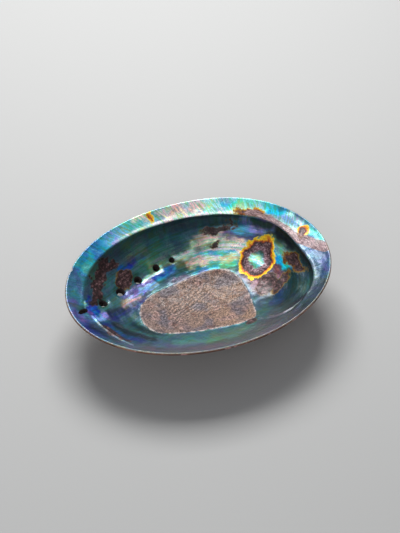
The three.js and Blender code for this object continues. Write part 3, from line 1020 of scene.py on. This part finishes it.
def make_nacre():
    """The inside: streaked nacre, conchiolin stains, the fibrous band, the scar and the worn edge."""
    g = Graph("nacre")
    flow = g.field("flow", "Vector")
    shelf = g.smooth(g.field("shelf"), -1.0, 1.5)
    cloud = g.noise(g.millimetres, 0.09, 3, 0.55, 0.8)
    speck = g.noise(g.millimetres, 0.9, 3, 0.65)
    growth_lines = g.noise(g.scaled(flow, (7, 7, 42)), 1.0, 4, 0.6, 0.4)
    share = g.node("ShaderNodeSeparateXYZ", {0: flow}, 2)
    lanes = g.noise(g.joined(g.times(g.field("lane"), 0.75), g.times(share, 9.0)), 1.0, 4, 0.6, 0.5)
    rays = g.noise(g.scaled(flow, (46, 46, 7)), 1.0, 4, 0.65, 0.9)
    in_bowl = g.rest(shelf)
    streak = g.sum((g.times(rays, shelf), 0.75), (shelf, 0.125), (g.times(lanes, in_bowl), 0.6),
                   (g.times(growth_lines, in_bowl), 0.4))

    colour = thin_layers(g, streak, cloud, speck)
    colour = g.blend(g.times(dark_net(g, cloud), 0.5), colour, linear(45, 55, 60))
    stain, on_stain = conchiolin_stain(g, streak, cloud, speck)
    colour = g.blend(on_stain, colour, stain)
    fibre, on_fibre = fibrous_band(g, flow, cloud)
    colour = g.blend(g.times(on_fibre, 0.92), colour, fibre)
    flesh, on_scar, grain = muscle_scar(g)
    colour = g.blend(on_scar, colour, flesh)
    worn = g.smooth(g.sum(g.field("margin"), (speck, 2.4), -1.2), 1.1, 0.2)
    colour = g.blend(g.times(worn, 0.8), colour, linear(150, 138, 118))

    rough = g.sum((on_scar, 0.3), (on_stain, 0.12), (on_fibre, 0.2), (speck, 0.16), 0.28)
    height = g.sum((streak, 0.5), (speck, 0.35), (g.times(grain, on_scar), 1.6))
    metal = g.times(g.rest(on_scar), 0.35)
    return g.finish(colour, rough, height, 0.35, metallic=metal, coat_weight=0.12, coat_roughness=0.15)


def make_crust():
    """The outside: brown, banded by growth, with chalky crust and nacre where it is worn through."""
    g = Graph("crust")
    flow = g.field("flow", "Vector")
    share = g.node("ShaderNodeSeparateXYZ", {0: flow}, 2)
    bands = g.noise(g.scaled(flow, (4, 4, 55)), 1.0, 4, 0.65, 0.3)
    cloud = g.noise(g.millimetres, 0.06, 4, 0.6, 0.6)
    speck = g.noise(g.millimetres, 0.7, 4, 0.7)
    colour = g.ramp(g.sum((bands, 0.65), (speck, 0.35)),
                    (0.34, linear(58, 34, 30)), (0.46, linear(104, 66, 54)), (0.56, linear(136, 96, 78)),
                    (0.68, linear(172, 138, 116)))
    colour = g.blend(g.smooth(cloud, 0.5, 0.66), colour, linear(98, 100, 70), "SOFT_LIGHT")
    pink = g.smooth(g.sum((g.noise(g.millimetres, 0.11, 4, 0.7), 1.0), (speck, 0.12)), 0.62, 0.68)
    colour = g.blend(g.times(pink, 0.8), colour, linear(188, 142, 140))
    chalk = g.smooth(g.noise(g.scaled(g.millimetres, (1, 1.2, 1)), 0.085, 5, 0.75, 1.0), 0.6, 0.68)
    colour = g.blend(g.times(chalk, 0.85), colour, linear(206, 200, 186))
    worn = g.smooth(g.sum(share, (g.noise(g.millimetres, 0.16, 3, 0.6), 0.35), -0.17), 0.2, 0.12)
    pearl = g.ramp(g.math("FRACT", g.sum((cloud, 5.0), (bands, 2.0))),
                   (0.0, linear(190, 205, 205)), (0.35, linear(130, 190, 190)), (0.6, linear(215, 185, 190)),
                   (0.8, linear(160, 200, 160)), (1.0, linear(190, 205, 205)))
    colour = g.blend(worn, colour, pearl)
    rough = g.sum((worn, -0.4), (speck, 0.2), 0.68)
    height = g.sum((bands, 0.8), (speck, 1.2), (chalk, 0.4))
    return g.finish(colour, rough, height, 0.5)


def make_hole_wall_conchiolin_and_shade():
    """The wall of a breathing hole: near black, partly dark like conchiolin and partly painted shade inside
    the hole.
    """
    g = Graph("conchiolin")
    speck = g.noise(g.millimetres, 0.8, 4, 0.7)
    colour = g.ramp(speck, (0.3, linear(16, 12, 14)), (0.7, linear(60, 46, 46)))
    return g.finish(colour, 0.55, speck, 0.4)


# ---------------------------------------------------------------- stage

def area_light(name, place, aim, size, power, colour=(1, 1, 1)):
    light = bpy.data.lights.new(name, "AREA")
    light.shape = "RECTANGLE"
    light.size, light.size_y = size
    light.energy = power
    light.color = colour
    holder = bpy.data.objects.new(name, light)
    holder.location = place
    holder.rotation_euler = (Vector(aim) - Vector(place)).to_track_quat("-Z", "Y").to_euler()
    bpy.context.scene.collection.objects.link(holder)


def make_stage():
    bm = bmesh.new()
    bmesh.ops.create_grid(bm, x_segments=1, y_segments=1, size=3)
    mesh = bpy.data.meshes.new("floor")
    bm.to_mesh(mesh)
    bm.free()
    floor = bpy.data.objects.new("floor", mesh)
    bpy.context.scene.collection.objects.link(floor)
    paper = bpy.data.materials.new("pale_paper")
    paper.use_nodes = True
    paper.node_tree.nodes["Principled BSDF"].inputs["Base Color"].default_value = (0.34, 0.34, 0.335, 1)
    paper.node_tree.nodes["Principled BSDF"].inputs["Roughness"].default_value = 0.9
    mesh.materials.append(paper)
    world = bpy.data.worlds.new("studio")
    world.use_nodes = True
    world.node_tree.nodes["Background"].inputs["Color"].default_value = (0.9, 0.93, 1.0, 1)
    world.node_tree.nodes["Background"].inputs["Strength"].default_value = 0.3
    bpy.context.scene.world = world
    bpy.context.scene.view_settings.view_transform = "Standard"
    area_light("high_back", (0.15, 0.55, 0.75), (0, 0.02, 0.02), (0.6, 0.35), 15)
    area_light("front", (-0.5, -0.6, 0.6), (0, 0, 0.02), (0.6, 0.6), 2.6)


def make_camera():
    aim = Vector((0.0023, 0.0045, 0.0391))
    azimuth, elevation, distance = math.radians(-23), math.radians(52), 0.805
    back = Vector((
        math.sin(azimuth) * math.cos(elevation),
        -math.cos(azimuth) * math.cos(elevation),
        math.sin(elevation),
    ))
    lens = bpy.data.cameras.new("camera")
    lens.lens = 85
    camera = bpy.data.objects.new("camera", lens)
    camera.location = aim + back * distance
    camera.rotation_euler = back.to_track_quat("Z", "Y").to_euler()
    bpy.context.scene.collection.objects.link(camera)
    bpy.context.scene.camera = camera


make_stage()
make_camera()
shell = build_shell()
for material in (make_nacre(), make_crust(), make_hole_wall_conchiolin_and_shade()):
    shell.data.materials.append(material)
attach(shell, "root")
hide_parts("shell")
